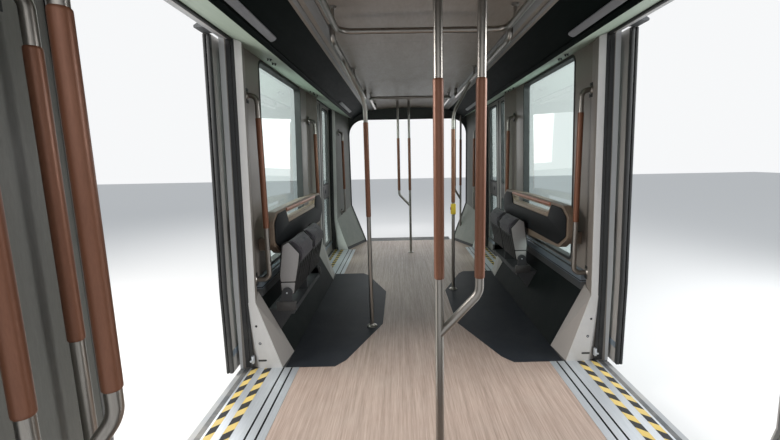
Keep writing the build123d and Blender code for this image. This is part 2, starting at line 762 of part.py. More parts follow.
# Copper sleeves on the upright tubes
with BuildPart() as rail_sleeves:
    uprights = [(sx * x, sy * y) for (x, y), *_ in rail_table for sx in (-1, 1) for sy in (-1, 1)]
    uprights += [side_pole, (-side_pole[0], -side_pole[1])]
    uprights += [place for row in fork_table + end_fork_table for place in row[:2]]
    with BuildSketch(plan(sleeve_low)):
        with Locations(*uprights):
            RegularPolygon(sleeve_r, tube_sides)
    extrude(amount=sleeve_high - sleeve_low)
    for tubes in [grab_rails.part, side_poles.part] + fork_parts:
        add(tubes, mode=Mode.SUBTRACT)
keep(rail_sleeves.part, "rail_sleeves")
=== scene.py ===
from math import acos, cos, radians, sin, tan

import bmesh
import bpy
from mathutils import Matrix, Vector


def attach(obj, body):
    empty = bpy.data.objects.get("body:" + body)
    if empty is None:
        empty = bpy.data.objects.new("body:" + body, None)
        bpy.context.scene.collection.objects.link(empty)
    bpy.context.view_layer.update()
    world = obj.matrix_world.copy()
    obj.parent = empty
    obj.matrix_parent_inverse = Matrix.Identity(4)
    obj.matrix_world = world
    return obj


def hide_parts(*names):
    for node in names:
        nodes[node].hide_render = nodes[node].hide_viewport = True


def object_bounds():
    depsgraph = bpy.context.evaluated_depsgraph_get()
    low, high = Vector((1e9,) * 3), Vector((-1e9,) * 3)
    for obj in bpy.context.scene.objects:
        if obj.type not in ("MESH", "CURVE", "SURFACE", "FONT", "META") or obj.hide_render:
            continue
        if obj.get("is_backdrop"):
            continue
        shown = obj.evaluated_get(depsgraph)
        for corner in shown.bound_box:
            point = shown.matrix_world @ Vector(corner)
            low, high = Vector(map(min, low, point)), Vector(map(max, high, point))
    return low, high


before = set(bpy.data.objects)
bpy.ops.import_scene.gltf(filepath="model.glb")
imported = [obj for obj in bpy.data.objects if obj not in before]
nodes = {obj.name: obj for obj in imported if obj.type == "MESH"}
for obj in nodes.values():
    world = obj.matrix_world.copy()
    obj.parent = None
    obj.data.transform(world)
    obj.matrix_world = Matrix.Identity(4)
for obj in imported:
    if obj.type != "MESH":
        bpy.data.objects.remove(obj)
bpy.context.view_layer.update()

# Height of the floor, and places along the tram from its middle
FLOOR = 0.25
DOOR_MIDDLE = 1.87
BAY_POST = 1.175
END_POST = 2.565
END_PLANE = 3.205
UP = (0, 0, 1)
WHITE = (1.0, 1.0, 1.0)
BEND_STEPS = 9
CLOTH_STEPS = 20


# Shader nodes

def put(tree, socket, value):
    """Links an input to another node's output, or gives it a value."""
    if isinstance(value, bpy.types.NodeSocket):
        tree.links.new(value, socket)
    else:
        socket.default_value = value


def add_node(tree, kind, *inputs, **settings):
    """Adds a node. Its first inputs come in order, other inputs and properties by name."""
    node = tree.nodes.new(kind)
    for key, value in settings.items():
        name = key.replace("_", " ")
        if name in node.inputs:
            put(tree, node.inputs[name], value)
        else:
            setattr(node, key, value)
    for socket, value in zip(node.inputs, inputs):
        put(tree, socket, value)
    return node


def calc(tree, operation, *inputs):
    return add_node(tree, "ShaderNodeMath", *inputs, operation=operation).outputs[0]


def mixed(tree, factor, first, second):
    """A colour that goes from the first to the second with the factor."""
    node = add_node(tree, "ShaderNodeMix", data_type="RGBA", Factor=factor)
    put(tree, node.inputs[6], first)
    put(tree, node.inputs[7], second)
    return node.outputs[2]


def remapped(tree, value, low, high, to_low=0.0, to_high=1.0):
    return add_node(tree, "ShaderNodeMapRange", Value=value, From_Min=low, From_Max=high, To_Min=to_low,
                    To_Max=to_high).outputs["Result"]


def new_group(name, inputs, outputs):
    """A node group from rows of (name, kind, value if any): the group, what comes in, and where it ends."""
    group = bpy.data.node_groups.new(name, "ShaderNodeTree")
    for way, rows in (("INPUT", inputs), ("OUTPUT", outputs)):
        for label, kind, *value in rows:
            socket = group.interface.new_socket(name=label, in_out=way, socket_type="NodeSocket" + kind)
            if value:
                socket.default_value = value[0]
    return group, group.nodes.new("NodeGroupInput").outputs, group.nodes.new("NodeGroupOutput").inputs


def make_grain():
    """Long grain with finer streaks in it: a colour between two, a roughness and a height."""
    group, given, out = new_group("long_grain",
                                  [("Vector", "Vector"), ("Base", "Color"), ("Streak", "Color"),
                                   ("Stretch", "Vector"), ("Streak share", "Float"), ("Roughness", "Float"),
                                   ("Roughness spread", "Float")],
                                  [("Color", "Color"), ("Roughness", "Float"), ("Height", "Float")])
    stretched = add_node(group, "ShaderNodeVectorMath", given["Vector"], given["Stretch"],
                         operation="MULTIPLY").outputs[0]
    coarse = add_node(group, "ShaderNodeTexNoise", Vector=stretched, Scale=1.0, Detail=3.0, Roughness=0.55)
    fine = add_node(group, "ShaderNodeTexNoise", Vector=stretched, Scale=4.7, Detail=2.0, Roughness=0.6)
    height = remapped(group, calc(group, "ADD", coarse.outputs["Fac"], fine.outputs["Fac"]), 0.72, 1.28)
    share = calc(group, "MULTIPLY", height, given["Streak share"])
    put(group, out["Color"], mixed(group, share, given["Base"], given["Streak"]))
    put(group, out["Roughness"],
        calc(group, "MULTIPLY_ADD", height, given["Roughness spread"], given["Roughness"]))
    put(group, out["Height"], height)
    return group


def make_grime():
    """Soft patches of dust and rubbed places, heavier near the floor: a mask from 0 to 1."""
    group, given, out = new_group("floor_dust",
                                  [("Vector", "Vector"), ("Size", "Float", 6.0), ("Reach", "Float")],
                                  [("Dust", "Float")])
    blotch = add_node(group, "ShaderNodeTexNoise", Vector=given["Vector"], Scale=given["Size"], Detail=5.0,
                      Roughness=0.65)
    height = add_node(group, "ShaderNodeSeparateXYZ", given["Vector"]).outputs["Z"]
    low = remapped(group, height, FLOOR, calc(group, "ADD", given["Reach"], FLOOR), 1.0, 0.12)
    put(group, out["Dust"], calc(group, "MULTIPLY", remapped(group, blotch.outputs["Fac"], 0.42, 0.72), low))
    return group


def make_weave():
    """A plain weave on Object coordinates: over and under threads as height."""
    group, given, out = new_group("seat_weave", [("Vector", "Vector"), ("Threads", "Float", 900.0)],
                                  [("Height", "Float")])
    parts = add_node(group, "ShaderNodeSeparateXYZ", given["Vector"]).outputs
    slope = calc(group, "ADD", parts["X"], parts["Z"])
    waves = [calc(group, "SINE", calc(group, "MULTIPLY", source, given["Threads"]))
             for source in (parts["Y"], slope)]
    put(group, out["Height"], calc(group, "MULTIPLY", *waves))
    return group


GRAIN = make_grain()
DUST = make_grime()
WEAVE = make_weave()
# Colour of the dust, and depth of the grain
DUST_COLOR = (0.42, 0.39, 0.34, 1)
RELIEF = 0.0005


# Materials

def new_material(name):
    """A material, with its tree, its main shader and the Object coordinates."""
    made = bpy.data.materials.new(name)
    made.use_nodes = True
    tree = made.node_tree
    return made, tree, tree.nodes["Principled BSDF"], add_node(tree, "ShaderNodeTexCoord").outputs["Object"]


def finish(name, base, streak, rough, spread=0.1, stretch=30, share=0.5, bump=0.05, dust=0.25, reach=0.5,
           **shader):
    """A surface with grain and dust. The shader's own sockets carry what is the same all over."""
    made, tree, principled, spot = new_material(name)
    stretch = stretch if isinstance(stretch, tuple) else (stretch,) * 3
    grain = add_node(tree, "ShaderNodeGroup", node_tree=GRAIN, Vector=spot, Base=(*base, 1),
                     Streak=(*streak, 1), Stretch=stretch, Streak_share=share, Roughness=rough,
                     Roughness_spread=spread)
    grime = add_node(tree, "ShaderNodeGroup", node_tree=DUST, Vector=spot, Reach=reach)
    part = calc(tree, "MULTIPLY", grime.outputs["Dust"], dust)
    put(tree, principled.inputs["Base Color"], mixed(tree, part, grain.outputs["Color"], DUST_COLOR))
    put(tree, principled.inputs["Roughness"], grain.outputs["Roughness"])
    relief = add_node(tree, "ShaderNodeBump", Strength=bump, Distance=RELIEF, Height=grain.outputs["Height"])
    put(tree, principled.inputs["Normal"], relief.outputs["Normal"])
    for socket, value in shader.items():
        principled.inputs[socket.replace("_", " ")].default_value = value
    return made


def recolor(made, mask, color):
    """Lays a plain colour over a finish where the mask is 1."""
    target = made.node_tree.nodes["Principled BSDF"].inputs["Base Color"]
    put(made.node_tree, target, mixed(made.node_tree, mask, target.links[0].from_socket, (*color, 1)))


def axis_value(tree, axis, absolute=False):
    """The Object coordinate along one axis, mirrored about the middle when absolute."""
    spot = add_node(tree, "ShaderNodeTexCoord").outputs["Object"]
    value = add_node(tree, "ShaderNodeSeparateXYZ", spot).outputs[axis]
    return calc(tree, "ABSOLUTE", value) if absolute else value


def striped(made, axis, rows, color, absolute=False):
    """Lays a plain colour over a finish between the values of each row along an axis."""
    tree = made.node_tree
    for low, high in rows:
        off = calc(tree, "ABSOLUTE",
                   calc(tree, "SUBTRACT", axis_value(tree, axis, absolute), (low + high) / 2))
        recolor(made, calc(tree, "LESS_THAN", off, (high - low) / 2), color)


floor_vinyl = finish("floor_vinyl", (0.435, 0.335, 0.28), (0.22, 0.158, 0.126), 0.46, 0.12,
                     stretch=(85, 1.6, 85), share=0.85, bump=0.12, dust=0.10)
inlay_vinyl = finish("inlay_vinyl", (0.012, 0.015, 0.020), (0.022, 0.026, 0.032), 0.52, stretch=240, bump=0.2,
                     dust=0.02, Specular_IOR_Level=0.2)
riser_black = finish("riser_black", (0.004, 0.006, 0.006), (0.008, 0.011, 0.011), 0.55, stretch=200,
                     bump=0.15, dust=0.015, Specular_IOR_Level=0.08)
ledge_metal = finish("ledge_metal", (0.30, 0.36, 0.42), (0.20, 0.25, 0.30), 0.32, stretch=(60, 2.2, 60),
                     Metallic=0.7, dust=0.1)
sill_metal = finish("sill_metal", (0.64, 0.67, 0.70), (0.46, 0.49, 0.52), 0.38, 0.15, stretch=(60, 3, 60),
                    bump=0.15, Metallic=0.7, dust=0.1)
grip_strip = finish("grip_strip", (0.60, 0.44, 0.13), (0.48, 0.35, 0.11), 0.8, stretch=300, bump=0.6,
                    dust=0.2)
body_paint = finish("body_paint", (0.54, 0.55, 0.555), (0.51, 0.52, 0.525), 0.36, 0.05, stretch=3, bump=0.02,
                    dust=0.2, reach=0.35, Coat_Weight=0.12, Coat_Roughness=0.25)
fairing_paint = finish("fairing_paint", (0.54, 0.55, 0.555), (0.49, 0.50, 0.505), 0.42, 0.05, stretch=3,
                       bump=0.02, dust=0.2, reach=3.2)
skirt_paint = finish("skirt_paint", (0.30, 0.31, 0.32), (0.26, 0.27, 0.28), 0.36, 0.08, stretch=3, dust=0.5,
                     reach=0.6, Coat_Weight=0.3)
roof_paint = finish("roof_paint", (0.42, 0.43, 0.44), (0.36, 0.37, 0.38), 0.6, stretch=4, bump=0.1, dust=0.4,
                    reach=3.5)
ceiling_panel = finish("ceiling_panel", (0.225, 0.187, 0.157), (0.19, 0.157, 0.131), 0.40, 0.08,
                       stretch=(12, 3, 12), bump=0.04, dust=0.05)
cove_gloss = finish("cove_gloss", (0.0018, 0.0042, 0.0036), (0.003, 0.006, 0.0052), 0.55, 0.06,
                    stretch=(8, 2, 8), bump=0.03, dust=0.0, Specular_IOR_Level=0.03)
soffit_panel = finish("soffit_panel", (0.37, 0.44, 0.36), (0.32, 0.385, 0.315), 0.5, stretch=(8, 2, 8),
                      bump=0.04, dust=0.05, Specular_IOR_Level=0.3)
lamp_cover = finish("lamp_cover", (0.235, 0.238, 0.25), (0.20, 0.203, 0.213), 0.5, 0.08, stretch=(20, 3, 20),
                    bump=0.03, dust=0.05, Specular_IOR_Level=0.3)
pillar_panel = finish("pillar_panel", (0.235, 0.205, 0.18), (0.19, 0.165, 0.145), 0.46, stretch=(40, 40, 8),
                      bump=0.08, dust=0.15, reach=0.8)
trim_white = finish("trim_white", (0.56, 0.545, 0.53), (0.50, 0.485, 0.47), 0.42, stretch=(14, 14, 5),
                    dust=0.35, reach=0.6)
lining_panel = finish("lining_panel", (0.16, 0.16, 0.145), (0.13, 0.13, 0.118), 0.46, stretch=(30, 30, 6),
                      bump=0.06, dust=0.15, reach=0.8)
flare_panel = finish("flare_panel", (0.25, 0.265, 0.235), (0.21, 0.22, 0.20), 0.46, stretch=(30, 30, 6),
                     bump=0.06, dust=0.3, reach=0.7)
frame_paint = finish("frame_paint", (0.045, 0.052, 0.048), (0.033, 0.038, 0.036), 0.42, stretch=10, bump=0.06,
                     dust=0.1)
rubber_black = finish("rubber_black", (0.014, 0.015, 0.016), (0.024, 0.025, 0.026), 0.58, 0.12, stretch=40,
                      bump=0.1, dust=0.15)
bellows_cloth = finish("bellows_cloth", (0.030, 0.031, 0.034), (0.045, 0.046, 0.05), 0.68, stretch=160,
                       bump=0.4, dust=0.2, reach=2)
bridge_metal = finish("bridge_metal", (0.20, 0.20, 0.205), (0.14, 0.14, 0.145), 0.46, 0.12,
                      stretch=(60, 4, 60), bump=0.2, Metallic=0.6, dust=0.3)
frame_steel = finish("frame_steel", (0.075, 0.08, 0.085), (0.055, 0.058, 0.062), 0.55, 0.12, stretch=12,
                     bump=0.15, dust=0.4, reach=0.3)
leaf_paint = finish("leaf_paint", (0.30, 0.285, 0.27), (0.25, 0.237, 0.225), 0.40, stretch=(30, 30, 5),
                    reach=0.8)
tube_steel = finish("tube_steel", (0.32, 0.30, 0.275), (0.24, 0.222, 0.202), 0.27, stretch=(260, 260, 8),
                    bump=0.08, dust=0.0, Metallic=1.0)
sleeve_copper = finish("sleeve_copper", (0.205, 0.082, 0.043), (0.148, 0.057, 0.030), 0.38,
                       stretch=(90, 90, 14), bump=0.08, dust=0.0, Metallic=0.35, Coat_Weight=0.12,
                       Coat_Roughness=0.25)
backrest_black = finish("backrest_black", (0.008, 0.009, 0.010), (0.014, 0.015, 0.017), 0.58, stretch=220,
                        bump=0.25, dust=0.01, Specular_IOR_Level=0.15)
rim_brown = finish("rim_brown", (0.19, 0.140, 0.102), (0.13, 0.093, 0.067), 0.46, stretch=(60, 6, 60),
                   bump=0.08, dust=0.0)
veneer = finish("veneer", (0.40, 0.31, 0.235), (0.24, 0.175, 0.125), 0.42, stretch=(160, 6, 160), share=0.8,
                bump=0.06, dust=0.0)
handle_red = finish("handle_red", (0.36, 0.130, 0.065), (0.27, 0.095, 0.045), 0.38, 0.08, stretch=(60, 6, 60),
                    dust=0.0)
mount_paint = finish("mount_paint", (0.038, 0.039, 0.042), (0.056, 0.057, 0.060), 0.48, stretch=60, bump=0.15,
                     dust=0.08, Specular_IOR_Level=0.3)
shell_plastic = finish("shell_plastic", (0.33, 0.315, 0.31), (0.28, 0.27, 0.262), 0.46, stretch=60, bump=0.1,
                       dust=0.06)
stop_yellow = finish("stop_yellow", (0.66, 0.44, 0.03), (0.58, 0.38, 0.03), 0.36, 0.06, stretch=60, dust=0.0)
button_red = finish("button_red", (0.30, 0.02, 0.015), (0.24, 0.018, 0.014), 0.3, 0.06, stretch=60, dust=0.0)
leaf_dark = finish("leaf_dark", (0.050, 0.047, 0.046), (0.036, 0.034, 0.033), 0.42, stretch=(30, 30, 6),
                   dust=0.1)
seat_black = finish("seat_black", (0.014, 0.0135, 0.014), (0.023, 0.022, 0.023), 0.52, stretch=120, bump=0.12,
                    dust=0.03, Specular_IOR_Level=0.3)
channel_paint = finish("channel_paint", (0.19, 0.185, 0.185), (0.15, 0.147, 0.147), 0.42, stretch=(30, 2, 30),
                       dust=0.0)


def make_glass(name, tint, shade):
    """Tinted pane: the lamps shine through it, and it reflects like glass."""
    made, tree, principled, spot = new_material(name)
    grime = add_node(tree, "ShaderNodeGroup", node_tree=DUST, Vector=spot, Size=3.0, Reach=1.6)
    put(tree, principled.inputs["Roughness"], calc(tree, "MULTIPLY_ADD", grime.outputs["Dust"], 0.05, 0.015))
    principled.inputs["Base Color"].default_value = (*tint, 1)
    principled.inputs["Transmission Weight"].default_value = 1.0
    principled.inputs["IOR"].default_value = 1.45
    clear = add_node(tree, "ShaderNodeBsdfTransparent", (*shade, 1))
    path = add_node(tree, "ShaderNodeLightPath").outputs
    both = calc(tree, "MAXIMUM", path["Is Shadow Ray"], path["Is Diffuse Ray"])
    mix = add_node(tree, "ShaderNodeMixShader", both, principled.outputs[0], clear.outputs[0])
    put(tree, tree.nodes["Material Output"].inputs["Surface"], mix.outputs[0])
    return made


pane_glass = make_glass("pane_glass", (0.80, 0.90, 0.87), (0.80, 0.88, 0.85))

# Black and yellow slanted blocks on the grip strips
tree = grip_strip.node_tree
slant = calc(tree, "MULTIPLY_ADD", axis_value(tree, "X", absolute=True), 0.9, axis_value(tree, "Y"))
recolor(grip_strip, calc(tree, "GREATER_THAN", calc(tree, "PINGPONG", slant, 0.0675), 0.034),
        (0.02, 0.02, 0.021))

# Darker joints between the ceiling's panels
striped(ceiling_panel, "Y", [(joint - 0.002, joint + 0.002) for joint in (-2.1, -0.72, 0.72, 2.1)],
        (0.12, 0.11, 0.10))

# The bay walls are painted outside and lined in the posts' grey inside: the change leans with the wall
LEAN = 0.0242
tree = body_paint.node_tree
depth = calc(tree, "MULTIPLY_ADD", axis_value(tree, "Z"), LEAN, axis_value(tree, "X", absolute=True))
recolor(body_paint, calc(tree, "LESS_THAN", depth, 1.290 + LEAN * (FLOOR + 0.6)), (0.205, 0.18, 0.158))
# The walls' edges in the doorways are the leaves' grey
striped(body_paint, "Y", [(BAY_POST - 0.002, BAY_POST + 0.004), (END_POST - 0.004, END_POST + 0.002)],
        (0.27, 0.255, 0.24), absolute=True)

# The feet of the doorposts are light in front and grey on their slanted sides
tree = trim_white.node_tree
recolor(trim_white, calc(tree, "LESS_THAN", axis_value(tree, "Y", absolute=True), BAY_POST - 0.0075),
        (0.30, 0.275, 0.255))

# Black kick strip along the foot of the flared panels
striped(flare_panel, "Z", [(FLOOR - 0.01, FLOOR + 0.042)], (0.014, 0.015, 0.016))

# Grey band and black grooves of the wall ledge
striped(ledge_metal, "Z", [(FLOOR + 0.449, FLOOR + 0.508)], (0.12, 0.125, 0.13))
striped(ledge_metal, "Z", [(FLOOR + 0.513, FLOOR + 0.522), (FLOOR + 0.574, FLOOR + 0.582)],
        (0.03, 0.032, 0.035))

# Two black lines along the door sills
striped(sill_metal, "X", [(0.9455, 0.9570), (1.0040, 1.0160)], (0.015, 0.016, 0.017), absolute=True)

# Finishes of the CAD pieces
FINISHES = ((frame_steel, "sole_bars floor_deck cross_bearers lower_couplings door_hangers"),
            (floor_vinyl, "floor_covering"), (inlay_vinyl, "floor_inlays"), (riser_black, "risers"),
            (ledge_metal, "wall_ledges"), (sill_metal, "door_sills"), (grip_strip, "sill_grips"),
            (skirt_paint, "skirts"), (body_paint, "bay_walls corner_walls"),
            (fairing_paint, "cantrails roof_fairings"), (roof_paint, "roof_shell roof_unit"),
            (pane_glass, "windows door_glass"), (ceiling_panel, "ceiling"), (cove_gloss, "coves"),
            (soffit_panel, "soffits"), (lamp_cover, "lamp_bars"), (bridge_metal, "gangway_bridges"),
            (frame_paint, "end_frame_front end_frame_rear"), (lining_panel, "end_cabinets"),
            (flare_panel, "end_flares"), (bellows_cloth, "bellows_front bellows_rear"),
            (pillar_panel, "door_posts"), (trim_white, "post_trims"), (leaf_paint, "door_leaves"),
            (rim_brown, "backrests"), (mount_paint, "seat_mount_left seat_mount_right"),
            (tube_steel, "grab_rails side_poles fork_poles end_forks ceiling_rails"),
            (sleeve_copper, "rail_sleeves"))
CAD_FINISH = {name: material for material, names in FINISHES for name in names.split()}
for name, node in nodes.items():
    if name.startswith("seat_shell"):
        CAD_FINISH[name] = shell_plastic
    if name.startswith("seat_cushion"):
        CAD_FINISH[name] = backrest_black
    node.data.materials.clear()
    node.data.materials.append(CAD_FINISH[name])


# Making pieces

def of_kind(geom, kind):
    return [g for g in geom if isinstance(g, kind)]


def everything(bm):
    return bm.verts[:] + bm.edges[:] + bm.faces[:]


def mesh_of(bm, name):
    """The bmesh as a mesh. The bmesh ends with this."""
    mesh = bpy.data.meshes.new(name)
    bm.to_mesh(mesh)
    bm.free()
    return mesh


def stand(name, data):
    """A new object, linked to the scene."""
    made = bpy.data.objects.new(name, data)
    bpy.context.scene.collection.objects.link(made)
    return made


def place(bm, name, material, body="door_section", angle=35, copies=""):
    """Turns a bmesh into a piece that rides on its body, with copies across (X) and along (Y) the tram."""
    for axis in copies:
        bmesh.ops.mirror(bm, geom=everything(bm), axis=axis, merge_dist=-1)
    bmesh.ops.recalc_face_normals(bm, faces=bm.faces)
    mesh = mesh_of(bm, name)
    for polygon in mesh.polygons:
        polygon.use_smooth = True
    mesh.set_sharp_from_angle(angle=radians(angle))
    piece = stand(name, mesh)
    mesh.materials.append(material)
    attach(piece, body)
    return piece


def at_floor(x, y, z):
    return Vector((x, y, FLOOR + z))


def facing(way):
    """A turn that takes +Z to way, with +X up where way isn't upright itself."""
    way = Vector(way).normalized()
    across = Vector((0, 0, 1)) if abs(way.z) < 0.9 else Vector((1, 0, 0))
    side = (across - way * across.dot(way)).normalized()
    return Matrix((side, way.cross(side), way)).transposed().to_4x4()


def rounded(bm, geom, radius, segments=2, affect="EDGES", clamp=False):
    return bmesh.ops.bevel(bm, geom=geom, offset=radius, offset_type="OFFSET", segments=segments, profile=0.5,
                           affect=affect, material=-1, clamp_overlap=clamp)


def thickened(bm, faces, way):
    grown = bmesh.ops.extrude_face_region(bm, geom=faces)["geom"]
    bmesh.ops.translate(bm, verts=of_kind(grown, bmesh.types.BMVert), vec=way)


def grow_ring(bm, edges):
    """Extrudes a ring of edges in place: the new corners and the new edges."""
    grown = bmesh.ops.extrude_edge_only(bm, edges=edges)["geom"]
    return of_kind(grown, bmesh.types.BMVert), of_kind(grown, bmesh.types.BMEdge)


def pipe(bm, corners, bends, radius, sides=20):
    """A closed round tube along straight runs, with a bend of its own radius at each corner."""
    corners = [Vector(c) for c in corners]
    way = (corners[1] - corners[0]).normalized()
    ring = bmesh.ops.create_circle(bm, cap_ends=False, radius=radius, segments=sides,
                                   matrix=Matrix.Translation(corners[0]) @ facing(way))
    edges = list({e for v in ring["verts"] for e in v.link_edges})
    bmesh.ops.contextual_create(bm, geom=edges)
    used = 0.0
    for index in range(1, len(corners)):
        run = corners[index] - corners[index - 1]
        way = run.normalized()
        cut = 0.0
        if index < len(corners) - 1:
            onward = (corners[index + 1] - corners[index]).normalized()
            turn = acos(max(-1.0, min(1.0, way.dot(onward))))
            bend = bends[index - 1] if isinstance(bends, list) else bends
            cut = bend * tan(turn / 2)
        verts, edges = grow_ring(bm, edges)
        bmesh.ops.translate(bm, verts=verts, vec=way * (run.length - used - cut))
        used = cut
        if cut:
            axle = way.cross(onward).normalized()
            centre = corners[index] - way * cut + axle.cross(way) * bend
            swung = bmesh.ops.spin(bm, geom=edges, cent=centre, axis=axle, dvec=(0, 0, 0), angle=turn,
                                   steps=BEND_STEPS, use_merge=False, use_normal_flip=False,
                                   use_duplicate=False)["geom_last"]
            edges = of_kind(swung, bmesh.types.BMEdge)
    bmesh.ops.contextual_create(bm, geom=edges)
    bmesh.ops.remove_doubles(bm, verts=bm.verts, dist=1e-5)


def turned(bm, origin, way, profile, sides=24):
    """A turned piece: rings of (distance along way, radius), closed at both ends."""
    origin = Vector(origin)
    way = Vector(way).normalized()
    reach, radius = profile[0]
    ring = bmesh.ops.create_circle(bm, cap_ends=True, radius=radius, segments=sides,
                                   matrix=Matrix.Translation(origin + way * reach) @ facing(way))
    edges = list({e for v in ring["verts"] for e in v.link_edges})
    for next_reach, next_radius in profile[1:]:
        verts, edges = grow_ring(bm, edges)
        bmesh.ops.translate(bm, verts=verts, vec=way * (next_reach - reach))
        share = next_radius / radius
        bmesh.ops.scale(bm, verts=verts, vec=(share, share, share),
                        space=Matrix.Translation(-origin - way * next_reach))
        reach, radius = next_reach, next_radius
    bmesh.ops.contextual_create(bm, geom=edges)


def block(bm, low, high, round_by, segments=2, turn=None):
    """A bar or plate between two corners with its edges rounded."""
    low = Vector(low)
    high = Vector(high)
    made = bmesh.ops.create_cube(bm, size=1.0)["verts"]
    bmesh.ops.scale(bm, verts=made, vec=high - low)
    faces = rounded(bm, list({e for v in made for e in v.link_edges}), round_by, segments)["faces"]
    verts = list({v for f in faces for v in f.verts} | {v for v in made if v.is_valid})
    if turn is not None:
        bmesh.ops.transform(bm, verts=verts, matrix=turn)
    bmesh.ops.translate(bm, verts=verts, vec=(low + high) / 2)
    return verts


def slab(bm, outline, axis, low, high, corner=0.0, round_by=0.0):
    """A plate from low to high on an axis: its outline is (along, height) for X, (across, height) for Y."""
    old = set(bm.faces)
    verts = [bm.verts.new((low, a, FLOOR + b) if axis == "X" else (a, low, FLOOR + b)) for a, b in outline]
    bm.faces.new(verts)
    if corner:
        rounded(bm, verts, corner, 4, "VERTICES", clamp=True)
    face = next(f for f in bm.faces if f not in old)
    thickened(bm, [face], (high - low, 0, 0) if axis == "X" else (0, high - low, 0))
    if round_by:
        index = "XY".index(axis)
        rim = {e for f in bm.faces if f not in old for e in f.edges}
        rounded(bm, [e for e in rim if abs(e.verts[0].co[index] - e.verts[1].co[index]) < 1e-6], round_by,
                clamp=True)


def gasket(bm, low, high, corner, inside, outside, near, far):
    """A rubber frame round a pane between (along, height) corners, from near to far across the tram."""
    old = set(bm.faces)
    width = high[0] - low[0] + 2 * outside
    height = high[1] - low[1] + 2 * outside
    lay = Matrix(((0, 0, 1, near), (width, 0, 0, (low[0] + high[0]) / 2),
                  (0, height, 0, FLOOR + (low[1] + high[1]) / 2), (0, 0, 0, 1)))
    verts = bmesh.ops.create_grid(bm, x_segments=1, y_segments=1, size=0.5, matrix=lay)["verts"]
    rounded(bm, verts, corner + outside, 4, "VERTICES")
    face = next(f for f in bm.faces if f not in old)
    rim = bmesh.ops.inset_region(bm, faces=[face], thickness=inside + outside, depth=0.0,
                                 use_even_offset=True, use_boundary=True)["faces"]
    bmesh.ops.delete(bm, geom=[face], context="FACES_ONLY")
    thickened(bm, rim, (far - near, 0, 0))


# Height above the floor, half width of the outer skin
SIDE_LINE = [(-0.25, 1.325), (0.6, 1.325), (2.25, 1.285)]
WALL = 0.070


def outer(z):
    """Half width of the outer skin at a height above the floor."""
    for (low, near), (high, far) in zip(SIDE_LINE, SIDE_LINE[1:]):
        if z <= high:
            break
    return near + (far - near) * (z - low) / (high - low)


def bow(bm):
    """Moves what is drawn from a skin at x = 0 to the side of the tram, which leans in above elbow height."""
    bmesh.ops.bisect_plane(bm, geom=everything(bm), dist=1e-6, plane_co=(0, 0, FLOOR + SIDE_LINE[1][0]),
                           plane_no=UP)
    for vertex in bm.verts:
        vertex.co.x += outer(vertex.co.z - FLOOR)


# Tubes and sleeves

TUBE = 0.018
FLANGE = [(0.0, 0.019), (0.004, 0.026), (0.010, 0.031), (0.014, 0.032)]
FOOT_PLATE = [(0.0, 0.046), (0.006, 0.045), (0.010, 0.040), (0.013, 0.026), (0.022, 0.0195)]
HEAD_PLATE = [(0, 0.020), (0.004, 0.034), (0.011, 0.036)]
# Height and radius of the sleeves, from the foot up
SLEEVE = [(0.98, 0.0186), (0.983, 0.0208), (0.988, 0.0212), (1.757, 0.0212), (1.762, 0.0208), (1.765, 0.0186)]
# Places of the uprights that a half turn of the section repeats, main one and branch of the forks
POLE = (0.425, 0.480)
FORK = ((0, -2.280), (0.165, -2.280))
END_FORK = ((-0.905, -3.124), (-0.793, -3.037))
# Rails along the bay and hoops over the doorways: place across, height, end, top of their drops
HAND_X, HAND_Z, HAND_END, HAND_TOP = 0.555, 2.200, 1.215, 2.2975
HOOP_X, HOOP_Z, HOOP_TOP = 0.505, 2.220, 2.301

# Way to the lining that slants in from the end doorpost to the gangway
slant_way = Vector((END_PLANE - END_POST - 0.008, 1.200 - 1.018, 0)).normalized()
# Middle of the tube, way to the lining, reach at the foot and at the head, heights of both ends
RAILS = [((1.139, BAY_POST - 0.218), Vector((1, 0, 0)), 0.101, 0.069, 0.592, 1.919),
         ((1.073, 2.782), slant_way, 0.064, 0.064, 0.600, 1.900)]
bm = bmesh.new()
for (x, y), way, reach_low, reach_high, low, high in RAILS:
    foot = at_floor(x, y, low)
    head = at_floor(x, y, high)
    pipe(bm, [foot + way * reach_low, foot, head, head + way * reach_high], 0.046, TUBE)
    for end, reach in ((foot, reach_low), (head, reach_high)):
        turned(bm, end + way * (reach - 0.014), way, FLANGE)
grab = place(bm, "door_grab_rails", tube_steel, copies="XY")
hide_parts("grab_rails")

bm = bmesh.new()
for turn in (1, -1):
    x, y = (turn * v for v in POLE)
    rail_x = turn * HAND_X
    pipe(bm,
         [at_floor(x, y, 0), at_floor(x, y, 1.930), at_floor(rail_x, y - 0.290, HAND_Z),
          at_floor(rail_x, -HAND_END, HAND_Z), at_floor(rail_x, -HAND_END, HAND_TOP)], [0.190, 0.120, 0.045],
         TUBE)
    turned(bm, at_floor(x, y, 0), UP, FOOT_PLATE)
side = place(bm, "aisle_poles", tube_steel)
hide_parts("side_poles")

# Places of main upright and branch, heights of both tops, plates at floor and ceiling, foot of the upright
FORKS = [("doorway_forks", "fork_poles", FORK, 2.322, 2.320, True, 0.0),
         ("end_corner_forks", "end_forks", END_FORK, 2.172, 2.236, False, 0.26)]
for name, node, (main, branch), top, branch_top, plated, start in FORKS:
    bm = bmesh.new()
    for turn in (1, -1):
        x, y = (turn * v for v in main)
        bx, by = (turn * v for v in branch)
        pipe(bm, [at_floor(x, y, start), at_floor(x, y, top)], 0.1, TUBE)
        pipe(bm, [at_floor(bx, by, branch_top), at_floor(bx, by, 0.915), at_floor(x, y, 0.740)], 0.080, TUBE)
        if plated:
            turned(bm, at_floor(x, y, 0), UP, FOOT_PLATE)
            for head in (at_floor(x, y, top - 0.012), at_floor(bx, by, branch_top - 0.012)):
                turned(bm, head, UP, HEAD_PLATE)
    fork = place(bm, name, tube_steel)
    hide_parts(node)


